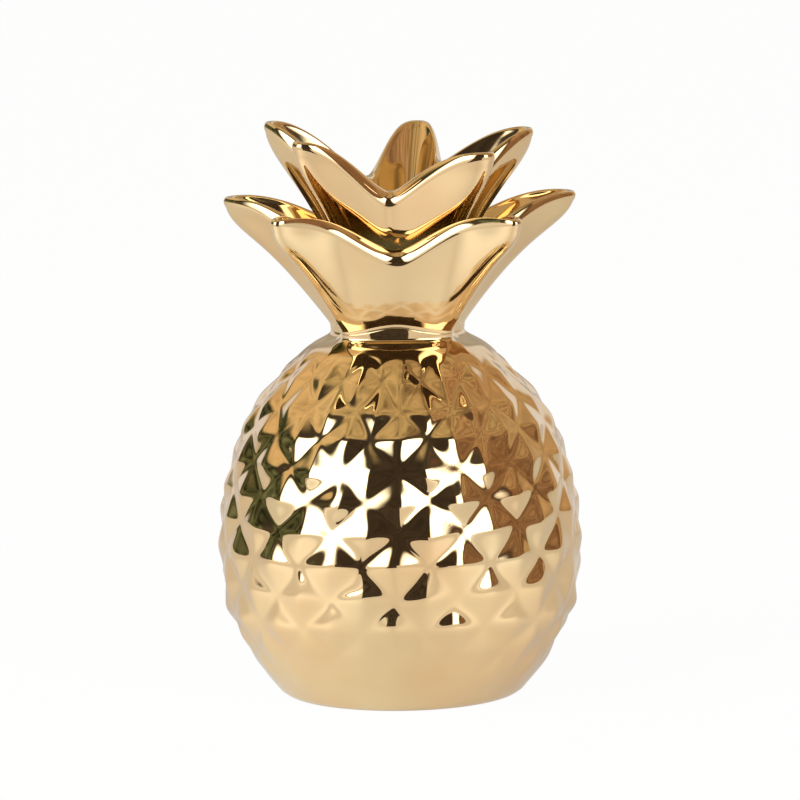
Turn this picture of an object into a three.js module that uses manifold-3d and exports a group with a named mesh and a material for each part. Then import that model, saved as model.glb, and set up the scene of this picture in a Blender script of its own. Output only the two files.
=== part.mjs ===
// Coin bank in the shape of a pineapple: a hollow glazed body with a coin slot at the back and a
// rubber stopper underneath, crowned by two tiers of five leaves. Millimetres, +Z up, front is -Y.
import * as THREE from 'three';
import { mergeVertices } from 'three/addons/utils/BufferGeometryUtils.js';
import Module from 'manifold-3d';

const wasm = await Module();
wasm.setup();

// Fruit body
const fruitHeight = 95.2;
const fruitRadius = 46.9;
const fruitWall = 4.2;
const footRadius = 28.6;
const footRound = 3.0;
const recessRadius = 23.6;
const recessDepth = 3.0;
const floorThickness = 4.2;
const stopperHoleRadius = 16.5;

// Diamond relief of the body
const reliefDepth = 1.6;
const diamondColumns = 17;
const diamondTurn = THREE.MathUtils.degToRad(-1.17);
const diamondTwist = THREE.MathUtils.degToRad(-0.57);
const diamondTiltShare = 0.015;

// Coin slot through the upper back
const slotLength = 36.0;
const slotWidth = 5.0;
const slotHeight = 71.5;
const slotMargin = 6.0;

// Lower leaf tier: radii and heights of the middle of its rim, and the rim's half width and half depth
const lowerWaistRadius = 14.6;
const lowerRidgeWaistRadius = 18.4;
const lowerRidgeRound = 2.5;
const lowerReach = 45.3;
const lowerTipRise = 29.6;
const lowerTipRound = 2.2;
const lowerValleyRadius = 19.4;
const lowerValleyRise = 17.8;
const lowerTipRimWidth = 1.4;
const lowerTipRimDepth = 1.8;
const lowerValleyRimWidth = 3.2;
const lowerValleyRimDepth = 3.6;
const lowerLeafWall = 4.3;
const lowerFloor = 4.4;

// Upper leaf tier
const upperWaistRadius = 8.8;
const upperRidgeWaistRadius = 11.4;
const upperRidgeRound = 2.0;
const upperReach = 34.6;
const upperTipRise = 43.2;
const upperTipRound = 2.2;
const upperValleyRadius = 16.0;
const upperValleyRise = 28.0;
const upperTipRimWidth = 1.3;
const upperTipRimDepth = 1.9;
const upperValleyRimWidth = 3.2;
const upperValleyRimDepth = 3.2;
const upperLeafWall = 4.2;
const upperFloor = 4.4;

// How far the underside of a leaf swells near its tip, and how far from upright the flat panels between
// the ridges lean, in degrees
const leafBelly = 1.3;
const panelLean = 24.5;

// The crown was set on by hand, its leaves a little to the right of the neck
const crownShift = 1.0;

// Rubber stopper
const stopperFlangeRadius = 20.4;
const stopperFlangeThickness = 2.0;
const stopperNeckLength = 9.0;
const stopperNeckTaper = 0.6;
const stopperNeckWall = 3.2;
const stopperWeb = 2.2;
const stopperLeadIn = 0.8;
const tabWidth = 11.0;
const tabReach = 2.2;
const tabThickness = 1.4;

// Fits
const seatGap = 0.3;
const neckClearance = 0.3;
const cutOverrun = 2.0;

// Outline of the body from the foot's rounding to the neck, as shares of its height and radius
const outlineHeightShares = [
  0.013, 0.083, 0.162, 0.23, 0.304, 0.426, 0.549, 0.662, 0.76, 0.848, 0.912, 0.953, 0.98, 1,
];
const outlineRadiusShares = [
  0.663, 0.784, 0.885, 0.957, 0.982, 1, 0.972, 0.911, 0.828, 0.69, 0.556, 0.45, 0.39, 0.371,
];

// Heights of the groove crossings from bottom to top, as shares of the body's height
const rowShares = [0.086, 0.168, 0.24, 0.329, 0.416, 0.505, 0.587, 0.667, 0.745, 0.813, 0.885, 0.94];
const frontRow = 5;
// Plain rings below the lowest row, as shares of the way from the foot's rounding
const plainRingShares = [0, 0.5];
const neckRoundShare = 0.972;
const reliefStartShare = 0.07;
const reliefFullShare = 0.33;
const reliefFadeShare = 0.86;
const reliefEndShare = 0.97;

// Leaves in order from the left front: angle from the front in degrees of each tip and of the valley
// after it, how many degrees its ridge is turned at the waist, each leaf's reach, tip rise and valley
// rise as shares of its tier's sizes, how hollow the underside of its ridge is, and how flat the panel
// after it is
const lowerTipAngles = [-43.6, 39.8, 106.4, 180, 253.6];
const lowerValleyAngles = [-1.5, 73.4, 143.2, 216.8, 285.1];
const lowerWaistTurns = [-6, 9, 0, 0, 0];
const lowerReachShares = [0.985, 0.99, 1, 0.965, 1];
const lowerTipShares = [1, 0.985, 1.01, 1, 0.995];
const lowerValleyShares = [1, 1.04, 1.06, 1.06, 1.04];
const lowerFlareShares = [0.03, 0.05, 0.065, 0.05, 0.032];
const lowerFlatShares = [1, 0.15, 0, 0, 0.15];
const upperTipAngles = [-46.5, 39.5, 108.3, 171.8, 251.8];
const upperValleyAngles = [-7.5, 74.4, 140, 211.8, 283.4];
const upperWaistTurns = [0, 0, 0, 0, 0];
const upperReachShares = [1, 1, 1, 1, 1];
const upperTipShares = [1, 0.934, 0.965, 0.945, 1.02];
const upperValleyShares = [1, 1.03, 1.12, 1, 1.06];
const upperFlareShares = [0.045, 0.05, 0.065, 0.05, 0.045];
const upperFlatShares = [0, 0, 0, 0, 0];

// How the rim climbs out of each valley on its left and its right, and how it levels out at the tips
const lowerClimbShares = [[1.22, 1.07], [1.15, 1.15], [1.15, 1.15], [1.15, 1.15], [1.15, 1.15]];
const upperClimbShares = [[1.2, 0.92], [1.06, 1.06], [1.06, 1.8], [1.32, 1.06], [1.06, 1.06]];
const lowerLevellingShare = 2.15;
const upperLevellingShare = 1.7;

// Stations across half a leaf, from its ridge to the valley, as shares of that half
const leafStationShares = [0, 0.04, 0.09, 0.18, 0.31, 0.46, 0.63, 0.82];
const valleySoftShare = 0.14;
const rimTaperShare = 0.6;
// The part of a half leaf that its ridge takes
const ridgeZoneShare = 0.36;
const bellyPlaceShare = 6 / 7;
const bellyGrowthShare = 3;

const fullTurn = 360;
const outerSteps = 6;
const innerSteps = 5;
const lipSteps = 5;
const cavitySteps = 11;
const cavitySegments = 40;
const stopperSegments = 48;
const stationsPerColumn = 4;
const ringsPerRow = 2;
const footSteps = 3;
const curveSegments = 8;

function makeMaterial(color, roughness, metalness) {
  return new THREE.MeshStandardMaterial({ color, roughness, metalness });
}

const goldLustre = makeMaterial(0xe6c274, 0.08, 1);
const blackRubber = makeMaterial(0x1f1e1d, 0.75, 0);

// Cubic through a table of shares, with the slope at each point taken from its neighbours
function readCurve(places, values, place) {
  const last = places.length - 1;
  let i = 0;
  while (i < last - 1 && place > places[i + 1]) i += 1;
  const slopeAt = (k) => {
    const a = Math.max(k - 1, 0);
    const b = Math.min(k + 1, last);
    return (values[b] - values[a]) / (places[b] - places[a]);
  };
  const width = places[i + 1] - places[i];
  const t = THREE.MathUtils.clamp((place - places[i]) / width, 0, 1);
  const start = values[i] * (1 + 2 * t) * (1 - t) ** 2 + slopeAt(i) * width * t * (1 - t) ** 2;
  const end = values[i + 1] * t ** 2 * (3 - 2 * t) + slopeAt(i + 1) * width * t ** 2 * (t - 1);
  return start + end;
}

function outlineRadius(height) {
  return fruitRadius * readCurve(outlineHeightShares, outlineRadiusShares, height / fruitHeight);
}

// A closed skin over rings of equal count, capped at both ends. flip says which way a cell is split.
function closedSkin(rings, bottomCentre, topCentre, flip) {
  const count = rings[0].length;
  const points = [bottomCentre, ...rings.flat(), topCentre];
  const index = [];
  const at = (ring, i) => 1 + ring * count + (i % count);
  const topIndex = points.length - 1;
  for (let i = 0; i < count; i += 1) {
    index.push(0, at(0, i + 1), at(0, i));
    index.push(topIndex, at(rings.length - 1, i), at(rings.length - 1, i + 1));
    for (let ring = 0; ring < rings.length - 1; ring += 1) {
      const a = at(ring, i);
      const b = at(ring, i + 1);
      const c = at(ring + 1, i + 1);
      const d = at(ring + 1, i);
      if (flip(ring, i)) {
        index.push(a, b, d, b, c, d);
      } else {
        index.push(a, b, c, a, c, d);
      }
    }
  }
  const geometry = new THREE.BufferGeometry();
  geometry.setFromPoints(points);
  geometry.setIndex(index);
  return geometry;
}

// Booleans
function toSolid(geometry, place = new THREE.Matrix4()) {
  const plain = geometry.clone();
  plain.deleteAttribute('normal');
  plain.deleteAttribute('uv');
  plain.applyMatrix4(place);
  const merged = mergeVertices(plain);
  return new wasm.Manifold(new wasm.Mesh({
    numProp: 3,
    vertProperties: new Float32Array(merged.attributes.position.array),
    triVerts: new Uint32Array(merged.index.array),
  }));
}

function toGeometry(solid) {
  const mesh = solid.getMesh();
  const geometry = new THREE.BufferGeometry();
  geometry.setAttribute('position', new THREE.BufferAttribute(mesh.vertProperties, 3));
  geometry.setIndex(new THREE.BufferAttribute(mesh.triVerts, 1));
  geometry.computeVertexNormals();
  return geometry;
}

// A solid of revolution about Z from [radius, height] pairs that start and end on the axis
function spun(pairs, segments) {
  const profile = pairs.map(([radius, height]) => new THREE.Vector2(radius, height));
  return new THREE.LatheGeometry(profile, segments).rotateX(Math.PI / 2);
}

// How strong the relief is at a height, from none at the foot to full and back to none at the neck
function reliefStrength(height) {
  const share = height / fruitHeight;
  const rise = THREE.MathUtils.smoothstep(share, reliefStartShare, reliefFullShare);
  return rise * (1 - THREE.MathUtils.smoothstep(share, reliefFadeShare, reliefEndShare));
}

// Pyramid height from 0 in the grooves to 1 at the points, at a column and row of the lattice
function pyramid(column, row) {
  const toGroove = (place) => Math.abs(place - Math.round(place));
  return 2 * Math.min(toGroove(column + row / 2), toGroove(column - row / 2));
}

// 0 at the coin slot, where the relief is smoothed away, rising to 1 past its margin
function awayFromSlot(turn, height) {
  if (Math.cos(turn) > 0) return 1;
  const across = Math.abs(outlineRadius(height) * Math.sin(turn)) - slotLength / 2;
  const above = Math.abs(height - slotHeight) - slotWidth / 2;
  return THREE.MathUtils.smoothstep(Math.hypot(Math.max(across, 0), Math.max(above, 0)), 0, slotMargin);
}

function ringOfRelief(height, row) {
  const stations = diamondColumns * stationsPerColumn;
  const strength = reliefStrength(height);
  return Array.from({ length: stations }, (_, i) => {
    const column = i / stationsPerColumn;
    const turn = column * 2 * Math.PI / diamondColumns + diamondTurn + diamondTwist * (frontRow - row);
    const tilted = height + diamondTiltShare * strength * outlineRadius(height) * Math.sin(turn);
    const point = THREE.MathUtils.lerp(1 / 2, pyramid(column, row + 1), awayFromSlot(turn, tilted));
    const radius = outlineRadius(tilted) - reliefDepth * strength * (1 - point);
    return new THREE.Vector3(radius * Math.sin(turn), -radius * Math.cos(turn), tilted);
  });
}

function fruitSkin() {
  const rings = [];
  const rows = [];
  // The foot's rounding meets the outline at its first point
  const outlineStart = outlineHeightShares[0] * fruitHeight;
  for (let i = 0; i < footSteps; i += 1) {
    const bend = Math.acos(1 - outlineStart / footRound) * i / footSteps;
    const radius = footRadius + footRound * Math.sin(bend);
    rings.push(plainRing(radius, footRound * (1 - Math.cos(bend))));
    rows.push(0);
  }
  const lowestRow = rowShares[0] * fruitHeight;
  for (const share of plainRingShares) {
    const height = THREE.MathUtils.lerp(outlineStart, lowestRow, share);
    rings.push(plainRing(outlineRadius(height), height));
    rows.push(0);
  }
  for (let k = 0; k < (rowShares.length - 1) * ringsPerRow + 1; k += 1) {
    const row = k / ringsPerRow;
    const below = Math.min(Math.floor(row), rowShares.length - 2);
    const height = fruitHeight * THREE.MathUtils.lerp(rowShares[below], rowShares[below + 1], row - below);
    rings.push(ringOfRelief(height, row));
    rows.push(row);
  }
  rings.push(plainRing(outlineRadius(neckRoundShare * fruitHeight), neckRoundShare * fruitHeight));
  rings.push(neckRing());
  rows.push(rowShares.length, rowShares.length);
  const flip = (ring, i) => {
    const halfColumn = Math.floor(i * 2 / stationsPerColumn);
    return (halfColumn + Math.floor(rows[ring]) + 1) % 2 === 1;
  };
  return closedSkin(rings, new THREE.Vector3(), new THREE.Vector3(0, 0, fruitHeight), flip);
}

function plainRing(radius, height) {
  const stations = diamondColumns * stationsPerColumn;
  return Array.from({ length: stations }, (_, i) => {
    const turn = i * 2 * Math.PI / stations + diamondTurn;
    return new THREE.Vector3(radius * Math.sin(turn), -radius * Math.cos(turn), height);
  });
}

// The top of the neck has the plan of the lower tier's waist
function neckRing() {
  const stations = diamondColumns * stationsPerColumn;
  return Array.from({ length: stations }, (_, i) => {
    const turn = i * 2 * Math.PI / stations + diamondTurn;
    const radius = waistRadiusAt(lowerTier, turn);
    const middle = crownShift + lowerTier.waistShift;
    return new THREE.Vector3(middle + radius * Math.sin(turn), -radius * Math.cos(turn), fruitHeight);
  });
}

// The space inside the body, with the stopper hole and the recess of the foot below it
function fruitHollow() {
  const inset = reliefDepth + fruitWall;
  const floorTop = recessDepth + floorThickness;
  const cornerHeight = floorTop + fruitWall / 2;
  const top = fruitHeight - fruitWall;
  const pairs = [
    [0, -cutOverrun],
    [recessRadius, -cutOverrun],
    [recessRadius, recessDepth],
    [stopperHoleRadius, recessDepth],
    [stopperHoleRadius, floorTop],
    [outlineRadius(floorTop) - inset - fruitWall / 2, floorTop],
  ];
  for (let i = 0; i <= cavitySteps; i += 1) {
    const height = THREE.MathUtils.lerp(cornerHeight, top, i / cavitySteps);
    pairs.push([outlineRadius(height) - inset, height]);
  }
  pairs.push([0, top]);
  return spun(pairs, cavitySegments);
}

function slotCutter() {
  const round = slotWidth / 2;
  const half = slotLength / 2 - round;
  const shape = new THREE.Shape();
  shape.absarc(half, 0, round, -Math.PI / 2, Math.PI / 2, false);
  shape.absarc(-half, 0, round, Math.PI / 2, 3 * Math.PI / 2, false);
  const depth = fruitRadius + cutOverrun;
  return new THREE.ExtrudeGeometry(shape, { depth, bevelEnabled: false, curveSegments });
}

function makeFruitBody() {
  const slotPlace = new THREE.Matrix4().makeRotationX(-Math.PI / 2).setPosition(0, 0, slotHeight);
  const solid = toSolid(fruitSkin())
    .subtract(toSolid(fruitHollow()))
    .subtract(toSolid(slotCutter(), slotPlace));
  const mesh = new THREE.Mesh(toGeometry(solid), goldLustre);
  mesh.name = 'fruit_body';
  return mesh;
}

// Radius of a leaf's outline seen from above: a conic with a rounded tip that reaches the valley at the
// end angle
function leafRadius(angle, end, tip, valley, round) {
  const length = tip - valley * Math.cos(end);
  const width = valley * Math.sin(end);
  const bend = (width ** 2 - 2 * round * length) / length ** 2;
  const a = Math.sin(angle) ** 2 - bend * Math.cos(angle) ** 2;
  const b = 2 * Math.cos(angle) * (round + bend * tip);
  const c = 2 * round * tip + bend * tip ** 2;
  return 2 * c / (b + Math.sqrt(Math.max(b ** 2 + 4 * a * c, 0)));
}

function bendPoint(start, end, flare, t) {
  const along = end.clone().sub(start);
  const side = new THREE.Vector2(-along.y, along.x).multiplyScalar(flare);
  const middle = start.clone().add(end).multiplyScalar(1 / 2).add(side);
  return start.clone().multiplyScalar((1 - t) ** 2)
    .add(middle.multiplyScalar(2 * t * (1 - t)))
    .add(end.clone().multiplyScalar(t ** 2));
}

// 1 where the underside swells most, 0 at both ends
function bellyAt(t) {
  const power = bellyPlaceShare / (1 - bellyPlaceShare);
  return (t / bellyPlaceShare) ** power * (1 - t) / (1 - bellyPlaceShare);
}

// A station of a leaf between its ridge and a valley, with its angle measured from the ridge
function leafStation(tier, leaf, side, share) {
  const count = tier.tipAngles.length;
  const valley = side > 0 ? leaf : (leaf + count - 1) % count;
  const gap = side * (tier.valleyAngles[valley] - tier.tipAngles[leaf]);
  const halfSpan = THREE.MathUtils.degToRad(THREE.MathUtils.euclideanModulo(gap, fullTurn));
  const whole = Math.hypot(1, valleySoftShare);
  const angle = halfSpan * (1 - Math.hypot(1 - share, valleySoftShare) / whole);
  const end = halfSpan * (1 - valleySoftShare / whole);
  const azimuth = THREE.MathUtils.degToRad(tier.tipAngles[leaf]) + side * share * halfSpan;
  const waistAzimuth = azimuth + THREE.MathUtils.degToRad(tier.waistTurns[leaf]) * (1 - share);
  const waist = leafRadius(angle, end, tier.ridgeWaistRadius, tier.waistRadius, tier.ridgeRound);
  return { valley, angle, end, azimuth, waistAzimuth, waist, fromValley: (1 - share) * halfSpan };
}

// Rim radius and angle from the valley once the rim has moved onto the flat panel between two ridges
function flattened(tier, valley, roundRadius, rise, half, fromValley, share) {
  const across = roundRadius * Math.sin(fromValley);
  const slope = Math.tan(THREE.MathUtils.degToRad(panelLean));
  const flat = tier.waistRadius + slope * rise - half * Math.hypot(1, slope);
  const blend = tier.flatShares[valley] * THREE.MathUtils.smoothstep(share, 0, ridgeZoneShare);
  const away = THREE.MathUtils.lerp(roundRadius * Math.cos(fromValley), flat, blend);
  return { radius: Math.hypot(across, away), rimFromValley: Math.atan2(across, away) };
}

// Outer wall, rounded rim and inner wall at one station
function leafSection(tier, leaf, side, share) {
  const { valley, angle, end, azimuth, waistAzimuth, waist, fromValley } = leafStation(tier, leaf, side, share);
  const valleyRise = tier.valleyRise * tier.valleyShares[valley];
  const tipRise = tier.tipRise * tier.tipShares[leaf];
  const tipRadius = tier.reach * tier.reachShares[leaf];
  const roundRadius = leafRadius(angle, end, tipRadius, tier.valleyRadius, tier.tipRound);
  const climbed = (roundRadius - tier.valleyRadius) / (tipRadius - tier.valleyRadius);
  const ridge = THREE.MathUtils.clamp(climbed, 0, 1);
  const climb = tier.climbShares[valley][side > 0 ? 0 : 1];
  const rise = THREE.MathUtils.lerp(valleyRise, tipRise, 1 - (1 - ridge ** climb) ** tier.levellingShare);
  const taper = ridge ** rimTaperShare;
  const half = THREE.MathUtils.lerp(tier.valleyRimWidth, tier.tipRimWidth, taper);
  const depth = THREE.MathUtils.lerp(tier.valleyRimDepth, tier.tipRimDepth, taper);
  const { radius, rimFromValley } = flattened(tier, valley, roundRadius, rise, half, fromValley, share);
  const rimAzimuth = azimuth + side * (fromValley - rimFromValley);
  const start = new THREE.Vector2(waist, 0);
  const rim = new THREE.Vector2(radius, rise);
  const along = rim.clone().sub(start).normalize();
  const out = new THREE.Vector2(along.y, -along.x);
  const outerEnd = rim.clone().addScaledVector(out, half);
  const innerEnd = rim.clone().addScaledVector(out, -half);
  const innerStart = new THREE.Vector2(waist - tier.wall, tier.floor);
  const flare = tier.flareShares[leaf] * ridge;
  const points = [];
  for (let i = 0; i <= outerSteps; i += 1) {
    const t = i / outerSteps;
    const belly = leafBelly * ridge ** bellyGrowthShare * bellyAt(t);
    points.push(bendPoint(start, outerEnd, flare, t).addScaledVector(out, belly));
  }
  for (let i = 1; i < lipSteps; i += 1) {
    const turn = Math.PI * i / lipSteps;
    points.push(rim.clone()
      .addScaledVector(out, half * Math.cos(turn))
      .addScaledVector(along, depth * Math.sin(turn)));
  }
  for (let i = innerSteps; i >= 0; i -= 1) {
    points.push(bendPoint(innerStart, innerEnd, flare, i / innerSteps));
  }
  return points.map((p) => {
    const below = 1 - THREE.MathUtils.clamp(p.y / rise, 0, 1);
    const turn = THREE.MathUtils.lerp(rimAzimuth, waistAzimuth, below);
    return new THREE.Vector3(p.x * Math.sin(turn) + tier.waistShift * below, -p.x * Math.cos(turn), p.y);
  });
}

// Radius of a tier's waist at a turn from the front, between the two stations beside it. The waist is a
// rounded pentagon with its corners at the ridges.
function waistRadiusAt(tier, turn) {
  const marks = [];
  for (let leaf = 0; leaf < tier.tipAngles.length; leaf += 1) {
    for (const side of [-1, 1]) {
      for (const share of [...leafStationShares, 1]) {
        const { waistAzimuth, waist } = leafStation(tier, leaf, side, share);
        const away = waistAzimuth - turn;
        marks.push({ away: Math.atan2(Math.sin(away), Math.cos(away)), waist });
      }
    }
  }
  marks.sort((first, second) => first.away - second.away);
  const before = marks.findLast((mark) => mark.away < 0);
  const after = marks.find((mark) => mark.away >= 0);
  return THREE.MathUtils.mapLinear(0, before.away, after.away, before.waist, after.waist);
}

function makeLeafTier(name, tier) {
  const sections = [];
  for (let leaf = 0; leaf < tier.tipAngles.length; leaf += 1) {
    for (const share of leafStationShares.slice(1).reverse()) {
      sections.push(leafSection(tier, leaf, -1, share));
    }
    for (const share of [...leafStationShares, 1]) {
      sections.push(leafSection(tier, leaf, 1, share));
    }
  }
  const rings = sections[0].map((_, k) => sections.map((section) => section[k]));
  const perLeaf = leafStationShares.length * 2;
  const flip = (ring, i) => (i % perLeaf) >= leafStationShares.length - 1;
  const mesh = new THREE.Mesh(
    closedSkin(rings, new THREE.Vector3(), new THREE.Vector3(0, 0, tier.floor), flip),
    goldLustre,
  );
  mesh.geometry.computeVertexNormals();
  mesh.name = name;
  mesh.position.set(crownShift, 0, tier.seat);
  return mesh;
}

function makeStopper() {
  const flangeTop = recessDepth - seatGap;
  const flangeBottom = flangeTop - stopperFlangeThickness;
  const neckRadius = stopperHoleRadius - neckClearance;
  const neckTop = flangeTop + stopperNeckLength;
  const webTop = flangeBottom + stopperFlangeThickness + stopperWeb;
  const tipRadius = neckRadius - stopperNeckTaper;
  const round = stopperLeadIn;
  const body = spun([
    [0, flangeBottom],
    [stopperFlangeRadius - round, flangeBottom],
    [stopperFlangeRadius, flangeBottom + round],
    [stopperFlangeRadius, flangeTop],
    [neckRadius, flangeTop],
    [tipRadius, neckTop - round],
    [tipRadius - round, neckTop],
    [tipRadius - stopperNeckWall, neckTop],
    [tipRadius - stopperNeckWall, webTop],
    [0, webTop],
  ], stopperSegments);
  const tabShape = new THREE.Shape();
  tabShape.moveTo(-tabWidth / 2, stopperFlangeRadius - tabReach);
  tabShape.lineTo(tabWidth / 2, stopperFlangeRadius - tabReach);
  tabShape.absellipse(0, stopperFlangeRadius, tabWidth / 2, tabReach, 0, Math.PI, false);
  const tab = new THREE.ExtrudeGeometry(tabShape, { depth: tabThickness, bevelEnabled: false, curveSegments });
  const tabPlace = new THREE.Matrix4().makeTranslation(0, 0, flangeBottom);
  const mesh = new THREE.Mesh(toGeometry(toSolid(body).add(toSolid(tab, tabPlace))), blackRubber);
  mesh.name = 'base_stopper';
  return mesh;
}

const lowerSeat = fruitHeight + seatGap;
const upperSeat = lowerSeat + lowerFloor + seatGap;

const lowerTier = {
  tipAngles: lowerTipAngles,
  valleyAngles: lowerValleyAngles,
  reachShares: lowerReachShares,
  tipShares: lowerTipShares,
  valleyShares: lowerValleyShares,
  waistTurns: lowerWaistTurns,
  flareShares: lowerFlareShares,
  climbShares: lowerClimbShares,
  levellingShare: lowerLevellingShare,
  flatShares: lowerFlatShares,
  waistRadius: lowerWaistRadius,
  ridgeWaistRadius: lowerRidgeWaistRadius,
  ridgeRound: lowerRidgeRound,
  waistShift: -crownShift,
  reach: lowerReach,
  tipRise: lowerTipRise,
  tipRound: lowerTipRound,
  valleyRadius: lowerValleyRadius,
  valleyRise: lowerValleyRise,
  tipRimWidth: lowerTipRimWidth,
  tipRimDepth: lowerTipRimDepth,
  valleyRimWidth: lowerValleyRimWidth,
  valleyRimDepth: lowerValleyRimDepth,
  wall: lowerLeafWall,
  floor: lowerFloor,
  seat: lowerSeat,
};

const upperTier = {
  tipAngles: upperTipAngles,
  valleyAngles: upperValleyAngles,
  reachShares: upperReachShares,
  tipShares: upperTipShares,
  valleyShares: upperValleyShares,
  waistTurns: upperWaistTurns,
  flareShares: upperFlareShares,
  climbShares: upperClimbShares,
  levellingShare: upperLevellingShare,
  flatShares: upperFlatShares,
  waistRadius: upperWaistRadius,
  ridgeWaistRadius: upperRidgeWaistRadius,
  ridgeRound: upperRidgeRound,
  waistShift: 0,
  reach: upperReach,
  tipRise: upperTipRise,
  tipRound: upperTipRound,
  valleyRadius: upperValleyRadius,
  valleyRise: upperValleyRise,
  tipRimWidth: upperTipRimWidth,
  tipRimDepth: upperTipRimDepth,
  valleyRimWidth: upperValleyRimWidth,
  valleyRimDepth: upperValleyRimDepth,
  wall: upperLeafWall,
  floor: upperFloor,
  seat: upperSeat,
};

const coinBank = new THREE.Group();
coinBank.add(makeFruitBody());
coinBank.add(makeLeafTier('lower_leaf_tier', lowerTier));
coinBank.add(makeLeafTier('upper_leaf_tier', upperTier));
coinBank.add(makeStopper());

export default coinBank;
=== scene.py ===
import math

import bpy
import numpy as np
from mathutils import Matrix, Vector


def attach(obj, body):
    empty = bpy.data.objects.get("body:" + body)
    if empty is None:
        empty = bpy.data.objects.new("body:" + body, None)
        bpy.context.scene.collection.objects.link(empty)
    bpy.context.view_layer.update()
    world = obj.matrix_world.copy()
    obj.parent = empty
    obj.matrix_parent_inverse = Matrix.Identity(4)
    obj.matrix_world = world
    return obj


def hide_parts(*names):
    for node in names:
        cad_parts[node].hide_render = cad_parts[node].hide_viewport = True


# Coin bank in the shape of a pineapple, slip-cast earthenware under a mirror-bright gold lustre,
# with a rubber stopper underneath. Shapes are worked out in millimetres and stored in metres.
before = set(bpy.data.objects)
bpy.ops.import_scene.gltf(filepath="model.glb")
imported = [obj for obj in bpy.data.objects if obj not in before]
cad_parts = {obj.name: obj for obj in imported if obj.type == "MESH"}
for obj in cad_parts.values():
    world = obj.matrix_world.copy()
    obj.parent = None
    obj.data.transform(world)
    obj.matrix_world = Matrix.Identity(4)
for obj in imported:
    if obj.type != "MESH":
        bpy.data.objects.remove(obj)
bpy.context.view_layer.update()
millimetre = 0.001
print("frame loaded:", len(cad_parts), "nodes")


# small helpers
def hexToLinear(code):
    parts = [int(code[i:i + 2], 16) / 255 for i in (1, 3, 5)]
    return [c / 12.92 if c <= 0.04045 else ((c + 0.055) / 1.055) ** 2.4 for c in parts] + [1.0]


def addNode(tree, kind, settings=None, inputs=None):
    node = tree.nodes.new(kind)
    for name, value in (settings or {}).items():
        setattr(node, name, value)
    for name, value in (inputs or {}).items():
        socket = node.inputs[name]
        if isinstance(value, bpy.types.NodeSocket):
            tree.links.new(value, socket)
        else:
            socket.default_value = value
    return node


def smoothStep(low, high, value):
    t = np.clip((value - low) / (high - low), 0, 1)
    return t * t * (3 - 2 * t)


def mix(a, b, t):
    return a + (b - a) * t


def readCurve(places, values, place):
    # a smooth curve through the given places, straight beyond its ends
    places, values = np.asarray(places, float), np.asarray(values, float)
    place = np.asarray(place, float)
    last = len(places) - 1
    before = np.maximum(np.arange(last + 1) - 1, 0)
    after = np.minimum(np.arange(last + 1) + 1, last)
    slope = (values[after] - values[before]) / (places[after] - places[before])
    i = np.clip(np.searchsorted(places, place, side="right") - 1, 0, last - 1)
    width = places[i + 1] - places[i]
    t = np.clip((place - places[i]) / width, 0, 1)
    start = values[i] * (1 + 2 * t) * (1 - t) ** 2 + slope[i] * width * t * (1 - t) ** 2
    end = values[i + 1] * t ** 2 * (3 - 2 * t) + slope[i + 1] * width * t ** 2 * (t - 1)
    above = np.maximum(place - places[-1], 0) * slope[-1]
    below = np.minimum(place - places[0], 0) * slope[0]
    return start + end + above + below


def spot(turn, radius, height):
    # a turn of 0 faces the front, and a quarter turn faces right
    turn, radius, height = np.broadcast_arrays(turn, radius, height)
    return np.stack([radius * np.sin(turn), -radius * np.cos(turn), height], -1)


def makeObject(name, points, faces, materials, kinds=None):
    mesh = bpy.data.meshes.new(name)
    mesh.from_pydata((np.asarray(points) * millimetre).tolist(), [], faces)
    mesh.validate()
    for material in materials:
        mesh.materials.append(material)
    if kinds is not None:
        mesh.polygons.foreach_set("material_index", np.asarray(kinds, np.int32))
    mesh.polygons.foreach_set("use_smooth", np.ones(len(mesh.polygons), bool))
    mesh.update()
    thing = bpy.data.objects.new(name, mesh)
    bpy.context.scene.collection.objects.link(thing)
    return thing


def newShape():
    return {"points": [], "faces": [], "kinds": [], "total": 0}


def addRings(shape, rings):
    # keeps the rings' points and says where each ring starts
    starts = []
    for ring in rings:
        starts.append(shape["total"])
        shape["points"].append(np.asarray(ring, float))
        shape["total"] += len(ring)
    return starts


def joinRings(shape, starts, count, kind, inward=False, gap=None):
    # quads between neighbouring rings, but for a gap: lowest and highest ring, first and last column
    for k, (low, high) in enumerate(zip(starts, starts[1:])):
        for i in range(count):
            if gap and gap[0] <= k < gap[1] and gap[2] <= i < gap[3]:
                continue
            j = (i + 1) % count
            a, b = (j, i) if inward else (i, j)
            shape["faces"].append([low + a, low + b, high + b, high + a])
            shape["kinds"].append(kind)


def closeRing(shape, start, count, centre, kind, inward=False):
    for i in range(count):
        j = (i + 1) % count
        a, b = (j, i) if inward else (i, j)
        shape["faces"].append([start + a, start + b, centre])
        shape["kinds"].append(kind)


def finishShape(name, shape, materials):
    return makeObject(name, np.concatenate(shape["points"]), shape["faces"], materials, shape["kinds"])


def movedTo(places, radius, height):
    return [(radius + across, height + above) for across, above in places]


# camera: a long lens from slightly above, turned a little, the foot's centre at its pixel
view = {
    "lensMm": 405.1,
    "sensorMm": 36.0,
    "footDistance": 2.3113,
    "elevation": 9.0,
    "roll": 0.8,
    "footPixel": (402.5, 689.5),
    "frameSide": 800,
    "clipStart": 0.05,
    "clipEnd": 60,
}


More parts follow.
